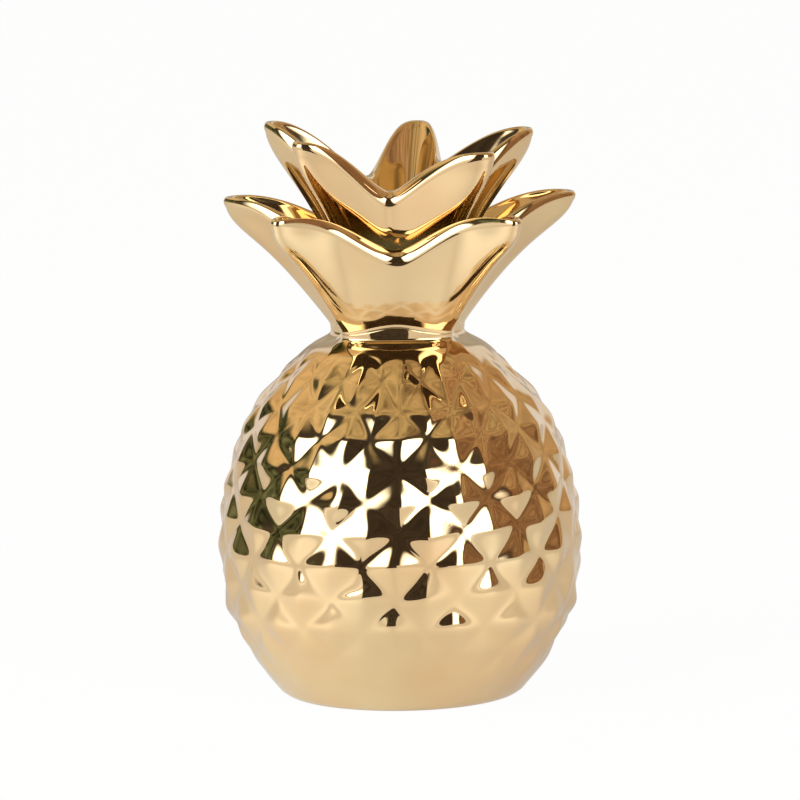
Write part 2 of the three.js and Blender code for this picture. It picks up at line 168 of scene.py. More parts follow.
def makeCamera():
    tilt, roll = math.radians(view["elevation"]), math.radians(view["roll"])
    forward = Vector((0, math.cos(tilt), -math.sin(tilt)))
    side, rise = Vector((1, 0, 0)), Vector((0, math.sin(tilt), math.cos(tilt)))
    right = side * math.cos(roll) - rise * math.sin(roll)
    up = rise * math.cos(roll) + side * math.sin(roll)
    perPixel = view["footDistance"] * view["sensorMm"] / view["lensMm"] / view["frameSide"]
    across = (view["footPixel"][0] - view["frameSide"] / 2) * perPixel
    above = (view["frameSide"] / 2 - view["footPixel"][1]) * perPixel
    place = -(right * across + up * above + forward * view["footDistance"])
    data = bpy.data.cameras.new("camera")
    data.lens, data.sensor_width = view["lensMm"], view["sensorMm"]
    data.clip_start, data.clip_end = view["clipStart"], view["clipEnd"]
    camera = bpy.data.objects.new("camera", data)
    bpy.context.scene.collection.objects.link(camera)
    turn = Matrix((right, up, -forward)).transposed().to_4x4()
    camera.matrix_world = Matrix.Translation(place) @ turn
    bpy.context.scene.camera = camera


makeCamera()
print("camera made")

# studio: pale floor, two softboxes beside the camera, a dim room in front and a pale one behind, with
# lengths in metres
studio = {
    "floorRadius": 3.2,
    "floorSides": 96,
    "floorColour": "#F2F0EE",
    "grains": 900,  # counted across the floor: 7 mm each, much coarser than paper, so that they show
    "grainStrength": 0.05,
    "grainDepth": 0.0004,
    "plainShare": 0.97,  # how much of the floor is plain white to the camera, the rest keeps the shadow
    "mirroredShare": 0.5,  # the same for what the gold mirrors
    # how bright the paper looks in the gold, and the painted light pools, where the paper is painted brighter
    # in the gold near each softbox
    "paperLevel": 0.58,
    "paintedLightPools": [{"azimuth": -55, "distance": 0.15, "reach": 0.16, "level": 1.5},
              {"azimuth": 45, "distance": 0.15, "reach": 0.15, "level": 1.35}],
    "boxDistance": 1.25,
    # azimuth and elevation of the middle, and the angles it covers, seen from the object
    "softboxes": {
        "left": {"azimuth": -51, "elevation": 22, "across": 46, "up": 44, "brightness": 3.4},
        "right": {"azimuth": 34, "elevation": 18, "across": 32, "up": 42, "brightness": 3.4},
    },
    "objectHeight": 0.06,
}


def newMaterial(name):
    material = bpy.data.materials.new(name)
    material.use_nodes = True
    material.node_tree.nodes.clear()
    return material, material.node_tree


def makeFloor():
    # matt white card: no gloss, plain white to the eye apart from the soft shadow round the foot; in the gold
    # it shows painted pools of light near the softboxes
    material, nodes = newMaterial("matt white studio card")
    path = addNode(nodes, "ShaderNodeLightPath")
    mirrored = addNode(nodes, "ShaderNodeMath", {"operation": "MAXIMUM"},
                       {0: path.outputs["Is Glossy Ray"], 1: path.outputs["Is Transmission Ray"]})
    mirroredPlain = addNode(nodes, "ShaderNodeMath", {"operation": "MULTIPLY"},
                            {0: mirrored.outputs[0], 1: studio["mirroredShare"]})
    share = addNode(nodes, "ShaderNodeMath", {"operation": "MULTIPLY_ADD"}, {
        0: path.outputs["Is Camera Ray"], 1: studio["plainShare"], 2: mirroredPlain.outputs[0]})
    grain = addNode(nodes, "ShaderNodeTexNoise", None, {"Scale": studio["grains"], "Detail": 2.0})
    bump = addNode(nodes, "ShaderNodeBump", None, {
        "Strength": studio["grainStrength"], "Distance": studio["grainDepth"],
        "Height": grain.outputs["Fac"]})
    paint = addNode(nodes, "ShaderNodeBsdfDiffuse", None,
                    {"Color": hexToLinear(studio["floorColour"]), "Normal": bump.outputs[0]})
    # painted light: the brightest painted pool wins at each place
    place = addNode(nodes, "ShaderNodeNewGeometry")
    shade = studio["paperLevel"]
    for pool in studio["paintedLightPools"]:
        centre = spot(math.radians(pool["azimuth"]), pool["distance"], 0)
        distance = addNode(nodes, "ShaderNodeVectorMath", {"operation": "DISTANCE"},
                           {0: place.outputs["Position"], 1: list(centre)})
        light = addNode(nodes, "ShaderNodeMapRange", {"interpolation_type": "SMOOTHSTEP"}, {
            "Value": distance.outputs["Value"], "From Min": 0.0, "From Max": pool["reach"],
            "To Min": pool["level"], "To Max": studio["paperLevel"]})
        shade = addNode(nodes, "ShaderNodeMath", {"operation": "MAXIMUM"},
                        {0: shade, 1: light.outputs[0]}).outputs[0]
    level = addNode(nodes, "ShaderNodeMix", {"data_type": "FLOAT"}, {
        "Factor": mirrored.outputs[0], "A": 1.0, "B": shade})
    plain = addNode(nodes, "ShaderNodeEmission", None,
                    {"Color": (1, 1, 1, 1), "Strength": level.outputs[0]})
    both = addNode(nodes, "ShaderNodeMixShader", None,
                   {0: share.outputs[0], 1: paint.outputs[0], 2: plain.outputs[0]})
    addNode(nodes, "ShaderNodeOutputMaterial", None, {"Surface": both.outputs[0]})
    turns = np.linspace(0, 2 * math.pi, studio["floorSides"], endpoint=False)
    rim = spot(turns, studio["floorRadius"] / millimetre, 0)
    makeObject("studio_floor", rim, [list(range(len(rim)))], [material])


# painted shade: a dark sheet in front of the bank that stands in for the unlit front of the studio, mirrored
# low in its middle: azimuths in degrees, distances in metres
shadeSheet = {
    "colour": "#3E3833", "from": -25, "to": 9, "near": 0.25, "far": 3.0, "sides": 24, "liftMm": 0.4,
    "blotches": 60,  # counted along it: 46 mm each, coarser than real ones, so that they show in the gold
    "darkest": 0.6, "lightest": 1.4,
}


def makeShadeSheet():
    # painted shade: a matt dark sheet, a little lighter in random blotches
    material, nodes = newMaterial("dark sheet for painted shade")
    blotchNoise = addNode(nodes, "ShaderNodeTexNoise", None, {"Scale": shadeSheet["blotches"], "Detail": 3.0})
    shade = addNode(nodes, "ShaderNodeMapRange", None, {
        "Value": blotchNoise.outputs["Fac"], "From Min": 0.3, "From Max": 0.7,
        "To Min": shadeSheet["darkest"], "To Max": shadeSheet["lightest"]})
    colour = addNode(nodes, "ShaderNodeVectorMath", {"operation": "SCALE"},
                     {0: hexToLinear(shadeSheet["colour"])[:3], "Scale": shade.outputs[0]})
    paint = addNode(nodes, "ShaderNodeBsdfDiffuse", None, {"Color": colour.outputs[0]})
    addNode(nodes, "ShaderNodeOutputMaterial", None, {"Surface": paint.outputs[0]})
    turns = np.radians(np.linspace(shadeSheet["from"], shadeSheet["to"], shadeSheet["sides"]))
    edge = np.concatenate([spot(turns, shadeSheet["near"] / millimetre, shadeSheet["liftMm"]),
                           spot(turns[::-1], shadeSheet["far"] / millimetre, shadeSheet["liftMm"])])
    piece = makeObject("studio_shade_sheet", edge, [list(range(len(edge)))], [material])
    piece.visible_camera = False  # it lies out of the picture, and only the gold shows it


def makeSoftbox(name, box):
    azimuth, elevation = math.radians(box["azimuth"]), math.radians(box["elevation"])
    away = Vector((math.sin(azimuth) * math.cos(elevation),
                   -math.cos(azimuth) * math.cos(elevation), math.sin(elevation)))
    distance = studio["boxDistance"]
    data = bpy.data.lights.new("softbox_" + name, "AREA")
    data.shape = "RECTANGLE"
    data.size = 2 * distance * math.tan(math.radians(box["across"] / 2))
    data.size_y = 2 * distance * math.tan(math.radians(box["up"] / 2))
    data.energy = box["brightness"] * data.size * data.size_y * math.pi
    lamp = bpy.data.objects.new("softbox_" + name, data)
    lamp.location = away * distance + Vector((0, 0, studio["objectHeight"]))
    lamp.rotation_mode = "QUATERNION"
    lamp.rotation_quaternion = away.to_track_quat("Z", "Y")
    lamp.visible_glossy = False  # the gold mirrors the box's soft-edged face from the room instead
    bpy.context.scene.collection.objects.link(lamp)


# The room by direction: colour and brightness, then its middle azimuth, half width and softness, then
# the lowest and highest elevation and softness, all in degrees, then how patchy it is. Later rows cover
# earlier ones.
room = {
    "behind": "#E9E4E4",
    "patches": [
        {"colour": "#B3A899", "level": 1, "azimuth": 180, "half": 14, "soft": 8,
         "low": 2, "high": 44, "edge": 5, "patchy": 0.3},  # grey panel at the back
        {"colour": "#BF9F78", "level": 1, "azimuth": 92, "half": 42, "soft": 12,
         "low": -90, "high": 90, "edge": 4, "patchy": 0.4},  # warm wall on the right
        {"colour": "#9A7A5C", "level": 1, "azimuth": 78, "half": 26, "soft": 8,
         "low": -3, "high": 26, "edge": 6, "patchy": 0.9},  # furniture along it
        {"colour": "#D9BE93", "level": 1, "azimuth": -108, "half": 36, "soft": 12,
         "low": 20, "high": 90, "edge": 8, "patchy": 0.5},  # cream wall on the left
        {"colour": "#5E6248", "level": 1, "azimuth": -102, "half": 34, "soft": 8,
         "low": -90, "high": 22, "edge": 8, "patchy": 1.6},  # green plants in front of it
        {"colour": "#4A4339", "level": 1, "azimuth": -12, "half": 66, "soft": 3,
         "low": -90, "high": 54, "edge": 6, "patchy": 0.5},  # dark end of the room in front
        {"colour": "#BCA57C", "level": 1, "azimuth": 0, "half": 181, "soft": 1,
         "low": 58, "high": 91, "edge": 9, "patchy": 0.9},  # ceiling
        {"colour": "#FFFDF8", "level": 3.4, "azimuth": -47, "half": 14, "soft": 11,
         "low": 1, "high": 37, "edge": 6, "patchy": 0.1},  # face of the left softbox
        {"colour": "#FFFDF8", "level": 3.4, "azimuth": 34, "half": 11, "soft": 8,
         "low": -2, "high": 35, "edge": 5, "patchy": 0.1},  # face of the right softbox
        {"colour": "#40372F", "level": 1, "azimuth": -3, "half": 16, "soft": 4,
         "low": -90, "high": 46, "edge": 6, "patchy": 0.4},  # dark gap between them
    ],
    "patchScale": 4.5,
    "leastLight": 0.15,
    # fine curved grain of a wooden screen on the right
    "grain": {"colour": "#7E5238", "azimuth": 78, "half": 30, "soft": 8,
              "scale": 5.0, "wander": 9.0, "share": 0.55},
}


def makeWorld():
    world = bpy.data.worlds.new("studio room")
    bpy.context.scene.world = world
    world.use_nodes = True
    tree = world.node_tree
    tree.nodes.clear()
    coordinates = addNode(tree, "ShaderNodeTexCoord")
    way = coordinates.outputs["Generated"]
    parts = addNode(tree, "ShaderNodeSeparateXYZ", None, {0: way})
    back = addNode(tree, "ShaderNodeMath", {"operation": "MULTIPLY"}, {0: parts.outputs["Y"], 1: -1.0})
    azimuth = addNode(tree, "ShaderNodeMath", {"operation": "ARCTAN2"},
                      {0: parts.outputs["X"], 1: back.outputs[0]})
    elevation = addNode(tree, "ShaderNodeMath", {"operation": "ARCSINE"}, {0: parts.outputs["Z"]})
    clouds = addNode(tree, "ShaderNodeTexNoise", None,
                     {"Vector": way, "Scale": room["patchScale"], "Detail": 4.0})

    def fade(value, start, end, low, high):
        return addNode(tree, "ShaderNodeMapRange", {"interpolation_type": "SMOOTHSTEP"}, {
            "Value": value, "From Min": math.radians(start), "From Max": math.radians(end),
            "To Min": low, "To Max": high}).outputs[0]

    def across(patch):
        offset = addNode(tree, "ShaderNodeMath", {"operation": "SUBTRACT"},
                         {0: azimuth.outputs[0], 1: math.radians(patch["azimuth"])})
        folded = addNode(tree, "ShaderNodeMath", {"operation": "WRAP"},
                         {0: offset.outputs[0], 1: math.pi, 2: -math.pi})
        size = addNode(tree, "ShaderNodeMath", {"operation": "ABSOLUTE"}, {0: folded.outputs[0]})
        return fade(size.outputs[0], patch["half"], patch["half"] + patch["soft"], 1.0, 0.0)

    def product(first, second):
        return addNode(tree, "ShaderNodeMath", {"operation": "MULTIPLY"}, {0: first, 1: second}).outputs[0]

    shown = hexToLinear(room["behind"])
    for patch in room["patches"]:
        above = fade(elevation.outputs[0], patch["low"] - patch["edge"], patch["low"], 0.0, 1.0)
        below = fade(elevation.outputs[0], patch["high"], patch["high"] + patch["edge"], 1.0, 0.0)
        cover = product(product(across(patch), above), below)
        uneven = addNode(tree, "ShaderNodeMapRange", None, {
            "Value": clouds.outputs["Fac"], "From Min": 0.35, "From Max": 0.65,
            "To Min": patch["level"] * max(1 - patch["patchy"] / 2, room["leastLight"]),
            "To Max": patch["level"] * (1 + patch["patchy"] / 2)})
        lit = addNode(tree, "ShaderNodeVectorMath", {"operation": "SCALE"},
                      {0: hexToLinear(patch["colour"])[:3], "Scale": uneven.outputs[0]})
        layer = addNode(tree, "ShaderNodeMix", {"data_type": "RGBA", "clamp_factor": True}, {
            0: cover, 6: shown, 7: lit.outputs[0]})
        shown = layer.outputs[2]
    grain = room["grain"]
    lines = addNode(tree, "ShaderNodeTexWave", {"bands_direction": "Z"}, {
        "Vector": way, "Scale": grain["scale"], "Distortion": grain["wander"],
        "Detail": 2.0, "Detail Scale": 1.2})
    streak = product(product(across(grain), lines.outputs["Fac"]), grain["share"])
    wooden = addNode(tree, "ShaderNodeMix", {"data_type": "RGBA"},
                     {0: streak, 6: shown, 7: hexToLinear(grain["colour"])})
    scene = addNode(tree, "ShaderNodeBackground", None, {"Color": wooden.outputs[2], "Strength": 1.0})
    plain = addNode(tree, "ShaderNodeBackground", None, {"Color": (1, 1, 1, 1), "Strength": 1.0})
    path = addNode(tree, "ShaderNodeLightPath")
    both = addNode(tree, "ShaderNodeMixShader", None,
                   {0: path.outputs["Is Camera Ray"], 1: scene.outputs[0], 2: plain.outputs[0]})
    addNode(tree, "ShaderNodeOutputWorld", None, {"Surface": both.outputs[0]})


makeFloor()
# painted shade: the dark sheet seen only in the gold
makeShadeSheet()
for name, box in studio["softboxes"].items():
    makeSoftbox(name, box)
makeWorld()
bpy.context.scene.view_settings.view_transform = "Standard"
print("studio made")

# materials
# Bright gold lustre: a fired film of gold over clear glaze, so it mirrors the room sharply, and the
# glaze under it makes the mirror swim a little and pools in soft, faintly rosier patches.
lustre = {
    "gold": "#EDD6A8",
    "rosyGold": "#EBCA99",
    "roughness": 0.045,
    "patchMm": 26.0,
    "swimMm": 5.5,
    "bodySwimMm": 0.03,
    "leafSwimMm": 0.006,
    "grainMm": 0.7,
    "grainDepthMm": 0.0008,
    "clearGlaze": 0.5,
    "glazeRoughness": 0.02,
    # painted shade deep between the leaf tiers: a dull olive coat is blended over the gold, from
    # one height down to the other
    "paintedShadeColour": "#8C8354",
    "paintedShadeMetallic": 0.25,
    "paintedShadeRoughness": 0.42,
    "paintedShadeFromMm": 122.0,
    "paintedShadeFullMm": 113.0,
    "paintedShadeShare": 0.8,
}
# Biscuit earthenware: the bare fired clay of the foot and the inside, off-white, dry and faintly grainy.
biscuit = {
    "main": "#E6DFD2", "other": "#CFC3AF", "otherMm": 0.45, "otherFrom": 0.5, "roughness": 0.9,
    "grainMm": 0.45, "grainDetail": 3.0, "grainStrength": 0.6, "depthMm": 0.03,
}
# Moulded natural rubber: matt black with a soft bloom and the fine texture of its mould.
rubber = {
    "main": "#2A2928", "other": "#3B3A38", "otherMm": 6.25, "otherFrom": 0.45, "roughness": 0.62,
    "grainMm": 0.5, "grainDetail": 2.0, "grainStrength": 0.5, "depthMm": 0.02,
}


def makeGoldLustre(name, swimDepth, thin=False):
    material, tree = newMaterial(name)
    place = addNode(tree, "ShaderNodeTexCoord").outputs["Object"]
    patches = addNode(tree, "ShaderNodeTexNoise", None,
                      {"Vector": place, "Scale": 1000 / lustre["patchMm"], "Detail": 2.0})
    share = addNode(tree, "ShaderNodeMapRange", None,
                    {"Value": patches.outputs["Fac"], "From Min": 0.35, "From Max": 0.7})
    colour = addNode(tree, "ShaderNodeMix", {"data_type": "RGBA"}, {
        0: share.outputs[0], 6: hexToLinear(lustre["gold"]), 7: hexToLinear(lustre["rosyGold"])})
    swim = addNode(tree, "ShaderNodeTexNoise", None,
                   {"Vector": place, "Scale": 1000 / lustre["swimMm"], "Detail": 1.0})
    grain = addNode(tree, "ShaderNodeTexNoise", None,
                    {"Vector": place, "Scale": 1000 / lustre["grainMm"], "Detail": 0.0})
    waves = addNode(tree, "ShaderNodeBump", None, {
        "Strength": 1.0, "Distance": swimDepth * millimetre, "Height": swim.outputs["Fac"]})
    fine = addNode(tree, "ShaderNodeBump", None, {
        "Strength": 1.0, "Distance": lustre["grainDepthMm"] * millimetre,
        "Height": grain.outputs["Fac"], "Normal": waves.outputs[0]})
    metal = addNode(tree, "ShaderNodeBsdfPrincipled", None, {
        "Base Color": colour.outputs[2], "Metallic": 1.0, "Roughness": lustre["roughness"],
        "Normal": fine.outputs[0], "Coat Weight": lustre["clearGlaze"],
        "Coat Roughness": lustre["glazeRoughness"]})
    surface = metal.outputs[0]
    # painted shade: a dull olive coat blended in by height deep between the tiers
    if thin:
        height = addNode(tree, "ShaderNodeSeparateXYZ", None, {0: place})
        depth = addNode(tree, "ShaderNodeMapRange", {"interpolation_type": "SMOOTHSTEP"}, {
            "Value": height.outputs["Z"], "From Min": lustre["paintedShadeFromMm"] * millimetre,
            "From Max": lustre["paintedShadeFullMm"] * millimetre, "To Min": 0.0, "To Max": lustre["paintedShadeShare"]})
        shadeCoat = addNode(tree, "ShaderNodeBsdfPrincipled", None, {
            "Base Color": hexToLinear(lustre["paintedShadeColour"]), "Metallic": lustre["paintedShadeMetallic"],
            "Roughness": lustre["paintedShadeRoughness"]})
        both = addNode(tree, "ShaderNodeMixShader", None,
                       {0: depth.outputs[0], 1: surface, 2: shadeCoat.outputs[0]})
        surface = both.outputs[0]
    addNode(tree, "ShaderNodeOutputMaterial", None, {"Surface": surface})
    return material


def makeMatt(name, finish):
    material, tree = newMaterial(name)
    place = addNode(tree, "ShaderNodeTexCoord").outputs["Object"]
    patches = addNode(tree, "ShaderNodeTexNoise", None,
                      {"Vector": place, "Scale": 1000 / finish["otherMm"], "Detail": 3.0})
    share = addNode(tree, "ShaderNodeMapRange", None,
                    {"Value": patches.outputs["Fac"], "From Min": finish["otherFrom"], "From Max": 0.75})
    colour = addNode(tree, "ShaderNodeMix", {"data_type": "RGBA"}, {
        0: share.outputs[0], 6: hexToLinear(finish["main"]), 7: hexToLinear(finish["other"])})
    grain = addNode(tree, "ShaderNodeTexNoise", None, {
        "Vector": place, "Scale": 1000 / finish["grainMm"], "Detail": finish["grainDetail"]})
    bump = addNode(tree, "ShaderNodeBump", None, {
        "Strength": finish["grainStrength"], "Distance": finish["depthMm"] * millimetre,
        "Height": grain.outputs["Fac"]})
    skin = addNode(tree, "ShaderNodeBsdfPrincipled", None, {
        "Base Color": colour.outputs[2], "Roughness": finish["roughness"], "Normal": bump.outputs[0]})
    addNode(tree, "ShaderNodeOutputMaterial", None, {"Surface": skin.outputs[0]})
    return material


bodyLustre = makeGoldLustre("gold lustre over carved glazed earthenware", lustre["bodySwimMm"])
leafLustre = makeGoldLustre("gold lustre over smooth glazed earthenware", lustre["leafSwimMm"])
shadedLustre = makeGoldLustre("gold lustre with painted shade between the leaves", lustre["leafSwimMm"], thin=True)
bareClay = makeMatt("biscuit earthenware", biscuit)
blackRubber = makeMatt("moulded natural rubber", rubber)
print("materials made")

# fruit body
fruit = {
    "height": 95.2, "radius": 47.25, "wall": 4.2, "hollowInset": 5.8,
    "footRadius": 28.6, "footRound": 3.0, "footInset": 0.4, "recessRadius": 23.6, "recessDepth": 3.0,
    "floor": 4.2, "holeRadius": 16.5,
    "outlineHeights": [0.013, 0.083, 0.162, 0.23, 0.304, 0.426, 0.549, 0.662, 0.76, 0.848, 0.912, 0.953,
                       0.98, 1],
    "outlineRadii": [0.663, 0.784, 0.885, 0.957, 0.982, 1, 0.972, 0.911, 0.828, 0.69, 0.556, 0.45,
                     0.39, 0.371],
    # the small rounds underneath: places past the corner, across and up
    "recessRim": [(0.6, 0.0), (0.15, 0.15), (0.0, 0.6)],
    "recessCorner": [(0.0, -0.7), (-0.2, -0.2), (-0.7, 0.0)],
    "holeRim": [(0.6, 0.0), (0.12, 0.12), (0.0, 0.6)],
    "holeTop": [(0.0, -0.6), (0.15, -0.15), (0.6, 0.0)],
    "hollowCorner": (0.7, 0.3),  # the middle of the hollow's lower round, as shares of it
    # diamond relief: rounded pyramids between crossing grooves
    "columns": 17, "relief": 1.886, "grooveRound": 0.139, "ridgeRound": 0.055, "hollowing": 1.174,
    "turn": -1.17, "twist": -0.57, "tilt": 0.0135, "frontRow": 5,
    "rows": [0.086, 0.168, 0.24, 0.329, 0.416, 0.505, 0.587, 0.667, 0.745, 0.813, 0.885, 0.94],
    "reliefStart": 0.0, "reliefFull": 0.22, "reliefFade": 0.86, "reliefEnd": 0.97,
    # mesh density
    "stationsPerColumn": 36, "ringStep": 0.45, "outlineSamples": 1500, "footSteps": 6, "collarSteps": 7,
    "hollowLow": 18, "hollowHigh": 7,
}
# coin slot through the upper back, and the opening in the rings that its own loops fill
coinSlot = {
    "length": 36.0, "width": 5.0, "height": 71.5, "margin": 6.0, "round": 1.3,
    "openAcross": 26.0, "openUp": 9.0,
    "sideTurn": 30,  # how much of each round end the opening's side leads to, either way, in degrees
    "skinLoops": 19, "skinEase": 1.25, "lipLoops": 7, "wallShares": [0.35, 0.7, 1.0], "innerLoops": 4,
}
# The neck's collar rises to a wavy join with the lower leaves: its height at the leaf ridges and between
# them, the height of the crease below the collar, and how tall the fillet above the join is. The ledge
# runs in under the leaves: its places in from the collar and up.
seam = {
    "ridge": 94.0, "valley": 96.0, "crease": 93.2, "creaseDepth": 0.12, "blend": 4.2, "fillet": 1.3,
    "ledge": [(-0.1, 0.05), (-1.2, 0.0), (-3.0, 0.0)],
}


def outlineRadius(height):
    share = height / fruit["height"]
    return fruit["radius"] * readCurve(fruit["outlineHeights"], fruit["outlineRadii"], share)


def hollowRadius(height):
    return outlineRadius(height) - fruit["hollowInset"]


def reliefStrength(height):
    share = height / fruit["height"]
    rise = smoothStep(fruit["reliefStart"], fruit["reliefFull"], share)
    return rise * (1 - smoothStep(fruit["reliefFade"], fruit["reliefEnd"], share))


def roundedWave(place, soft):
    return np.arccos((1 - soft) * np.cos(2 * np.pi * place)) / (2 * np.pi)


def pyramid(column, row):
    rise = roundedWave(column + row / 2, fruit["grooveRound"])
    fall = roundedWave(column - row / 2, fruit["grooveRound"])
    soft = fruit["ridgeRound"]
    lower = -soft * np.logaddexp(-rise / soft, -fall / soft)
    return np.abs(2 * lower) ** fruit["hollowing"]


def awayFromSlot(turn, height):
    # 0 on the plain band round the slot, 1 where the relief is whole
    across = np.abs(outlineRadius(height) * np.sin(turn)) - coinSlot["length"] / 2
    above = np.abs(height - coinSlot["height"]) - coinSlot["width"] / 2
    distance = np.hypot(np.maximum(across, 0), np.maximum(above, 0))
    return np.where(np.cos(turn) > 0, 1.0, smoothStep(0, coinSlot["margin"], distance))


# A hand-carved mould: slow waves that move the diamonds a little and make some deeper than others
carving = {
    "seed": 11, "waves": 9, "mostAround": 16, "shortestMm": 13.0,
    "shift": 0.035, "depth": 0.12, "swellMm": 0.07,
}
carvingKinds = {"column": 0, "row": 1, "depth": 2, "swell": 3}
carvingDraws = np.random.default_rng(carving["seed"])
carvingWaves = [
    (carvingDraws.integers(-carving["mostAround"], carving["mostAround"] + 1, carving["waves"]),
     carvingDraws.uniform(-1, 1, carving["waves"]) * 2 * np.pi / carving["shortestMm"],
     carvingDraws.uniform(0, 2 * np.pi, carving["waves"]))
    for _ in carvingKinds]


def carved(kind, turn, height):
    turn, height = np.broadcast_arrays(turn, height)
    waves = zip(*carvingWaves[carvingKinds[kind]])
    total = sum(np.sin(around * turn + up * height + start) for around, up, start in waves)
    return total / math.sqrt(carving["waves"])


def fruitSurface(turn, height):
    strength = reliefStrength(height)
    rowHeights = np.array(fruit["rows"]) * fruit["height"]
    row = readCurve(rowHeights, np.arange(len(rowHeights)), height)
    start = math.radians(fruit["turn"]) + math.radians(fruit["twist"]) * (fruit["frontRow"] - row)
    column = (turn - start) * fruit["columns"] / (2 * np.pi)
    column = column + carving["shift"] * carved("column", turn, height)
    row = row + carving["shift"] * carved("row", turn, height)
    tilted = height + fruit["tilt"] * strength * outlineRadius(height) * np.sin(turn)
    point = mix(0.5, pyramid(column, row + 1), awayFromSlot(turn, tilted))
    depth = fruit["relief"] * (1 + carving["depth"] * carved("depth", turn, height))
    swell = carving["swellMm"] * carved("swell", turn, height)
    radius = outlineRadius(tilted) - strength * (depth * (1 - point) - swell)
    return spot(turn, radius, tilted)


def hollowSurface(turn, height):
    return spot(turn, hollowRadius(height), height)


def seamHeight(turn):
    # lower at the leaf ridges, higher between them, on the lower tier's own angles
    marks, heights = [], []
    for lap in (-360, 0, 360):
        for tip, valley in zip(lowerTier["tipAngles"], lowerTier["valleyAngles"]):
            marks += [tip + lap, valley + lap]
            heights += [seam["ridge"], seam["valley"]]
    marks, heights = np.array(marks), np.array(heights)
    angle = np.degrees(turn)
    k = np.clip(np.searchsorted(marks, angle, side="right") - 1, 0, len(marks) - 2)
    t = (angle - marks[k]) / (marks[k + 1] - marks[k])
    return mix(heights[k], heights[k + 1], (1 - np.cos(np.pi * t)) / 2)


def collarAt(turns):
    # where the lower tier's skin meets the collar, as radius and height about the body's axis
    feet = np.array([leafSection(lowerTier, tip, side, share)[0] for tip in range(len(lowerTier["tipAngles"]))
                     for side in (-1, 1) for share in leafStations()])
    around = np.arctan2(feet[:, 0], -feet[:, 1])
    order = np.argsort(around)
    around, radii, heights = around[order], np.hypot(feet[:, 0], feet[:, 1])[order], feet[order, 2]
    turns = (turns + np.pi) % (2 * np.pi) - np.pi
    return (np.interp(turns, around, radii, period=2 * np.pi),
            np.interp(turns, around, heights, period=2 * np.pi))


def ringHeights():
    # an even step along the outline
    heights = np.linspace(fruit["outlineHeights"][0] * fruit["height"], fruit["height"],
                          fruit["outlineSamples"])
    steps = np.hypot(np.diff(heights), np.diff(outlineRadius(heights)))
    lengths = np.concatenate([[0], np.cumsum(steps)])
    return np.interp(np.linspace(0, lengths[-1], int(lengths[-1] / fruit["ringStep"])), lengths, heights)


def footRings(turns, top):
    rings = []
    bendEnd = math.acos(1 - top / fruit["footRound"])
    for bend in np.linspace(0, bendEnd, fruit["footSteps"], endpoint=False):
        rings.append(spot(turns, fruit["footRadius"] + fruit["footRound"] * np.sin(bend),
                          fruit["footRound"] * (1 - np.cos(bend))))
    return rings


def neckRings(turns, heights):
    # the skin up to the crease, the collar above it and the ledge under the leaves
    rings = []
    collarRadius, collarHeight = collarAt(turns)
    for height in heights[heights < seam["crease"]]:
        ring = fruitSurface(turns, height)
        share = smoothStep(seam["crease"] - seam["blend"], seam["crease"], height) ** 2
        radius = mix(np.hypot(ring[:, 0], ring[:, 1]), collarRadius - seam["creaseDepth"], share)
        rings.append(spot(turns, radius, ring[:, 2]))
    for t in np.linspace(0, 1, fruit["collarSteps"] + 1)[1:]:
        bulge = seam["creaseDepth"] * (1 - t) ** 2
        rings.append(spot(turns, collarRadius - bulge, mix(seam["crease"], collarHeight, t)))
    return rings + [spot(turns, collarRadius + inward, collarHeight + up) for inward, up in seam["ledge"]]


def undersideRings(turns):
    # foot face, recess, hole and the hollow's floor
    floorTop = fruit["recessDepth"] + fruit["floor"]
    corner = fruit["wall"] / 2
    cornerRadius = hollowRadius(floorTop + corner) - corner
    across, up = fruit["hollowCorner"]
    profile = [(fruit["footRadius"] - fruit["footInset"], 0.0)]
    profile += movedTo(fruit["recessRim"], fruit["recessRadius"], 0.0)
    profile += movedTo(fruit["recessCorner"], fruit["recessRadius"], fruit["recessDepth"])
    profile += movedTo(fruit["holeRim"], fruit["holeRadius"], fruit["recessDepth"])
    profile += movedTo(fruit["holeTop"], fruit["holeRadius"], floorTop)
    profile += [(cornerRadius, floorTop), (cornerRadius + corner * across, floorTop + corner * up)]
    return [spot(turns, radius, height) for radius, height in profile], floorTop + corner


def stadium(fraction, grow=0.0):
    # the slot's outline from the middle of one round end, as x along the turn and height from its middle
    bend = coinSlot["width"] / 2 + grow
    straight = (coinSlot["length"] - coinSlot["width"]) / 2
    quarter, edge = bend * np.pi / 2, 2 * straight
    s = (fraction % 1) * (4 * quarter + 2 * edge)
    turned = np.clip(s, 0, quarter) + np.clip(s - quarter - edge, 0, 2 * quarter)
    turned = turned + np.clip(s - 3 * quarter - 2 * edge, 0, quarter)
    centre = straight - np.clip(s - quarter, 0, edge) + np.clip(s - 3 * quarter - edge, 0, edge)
    return centre + bend * np.cos(turned / bend), bend * np.sin(turned / bend)


def stadiumOn(fraction, grow, radiusAt):
    # the same outline as turns and heights on a round wall
    x, z = stadium(fraction, grow)
    height = coinSlot["height"] + z
    return np.pi + np.arcsin(np.clip(x / radiusAt(height), -1, 1)), height


def openingEdge(low, high, left, right):
    # ring and column of the opening's edge points, from the middle of one side and round
    middle = (low + high) // 2
    edge = [(k, right) for k in range(middle, high)]
    edge += [(high, i) for i in range(right, left, -1)]
    edge += [(k, left) for k in range(high, low, -1)]
    edge += [(low, i) for i in range(left, right)]
    return edge + [(k, right) for k in range(low, middle)]


def edgeFractions(up, across):
    # how far round the slot each edge point leads, for so many rings up and columns across
    ends = coinSlot["width"] / 2
    outline = 2 * np.pi * ends + 4 * (coinSlot["length"] / 2 - ends)
    side = math.radians(coinSlot["sideTurn"]) * ends / outline
    counts = [up - up // 2, across, up, across, up // 2]
    marks = [0, side, 0.5 - side, 0.5 + side, 1 - side, 1]
    parts = [np.linspace(marks[k], marks[k + 1], count, endpoint=False) for k, count in enumerate(counts)]
    return np.concatenate(parts)


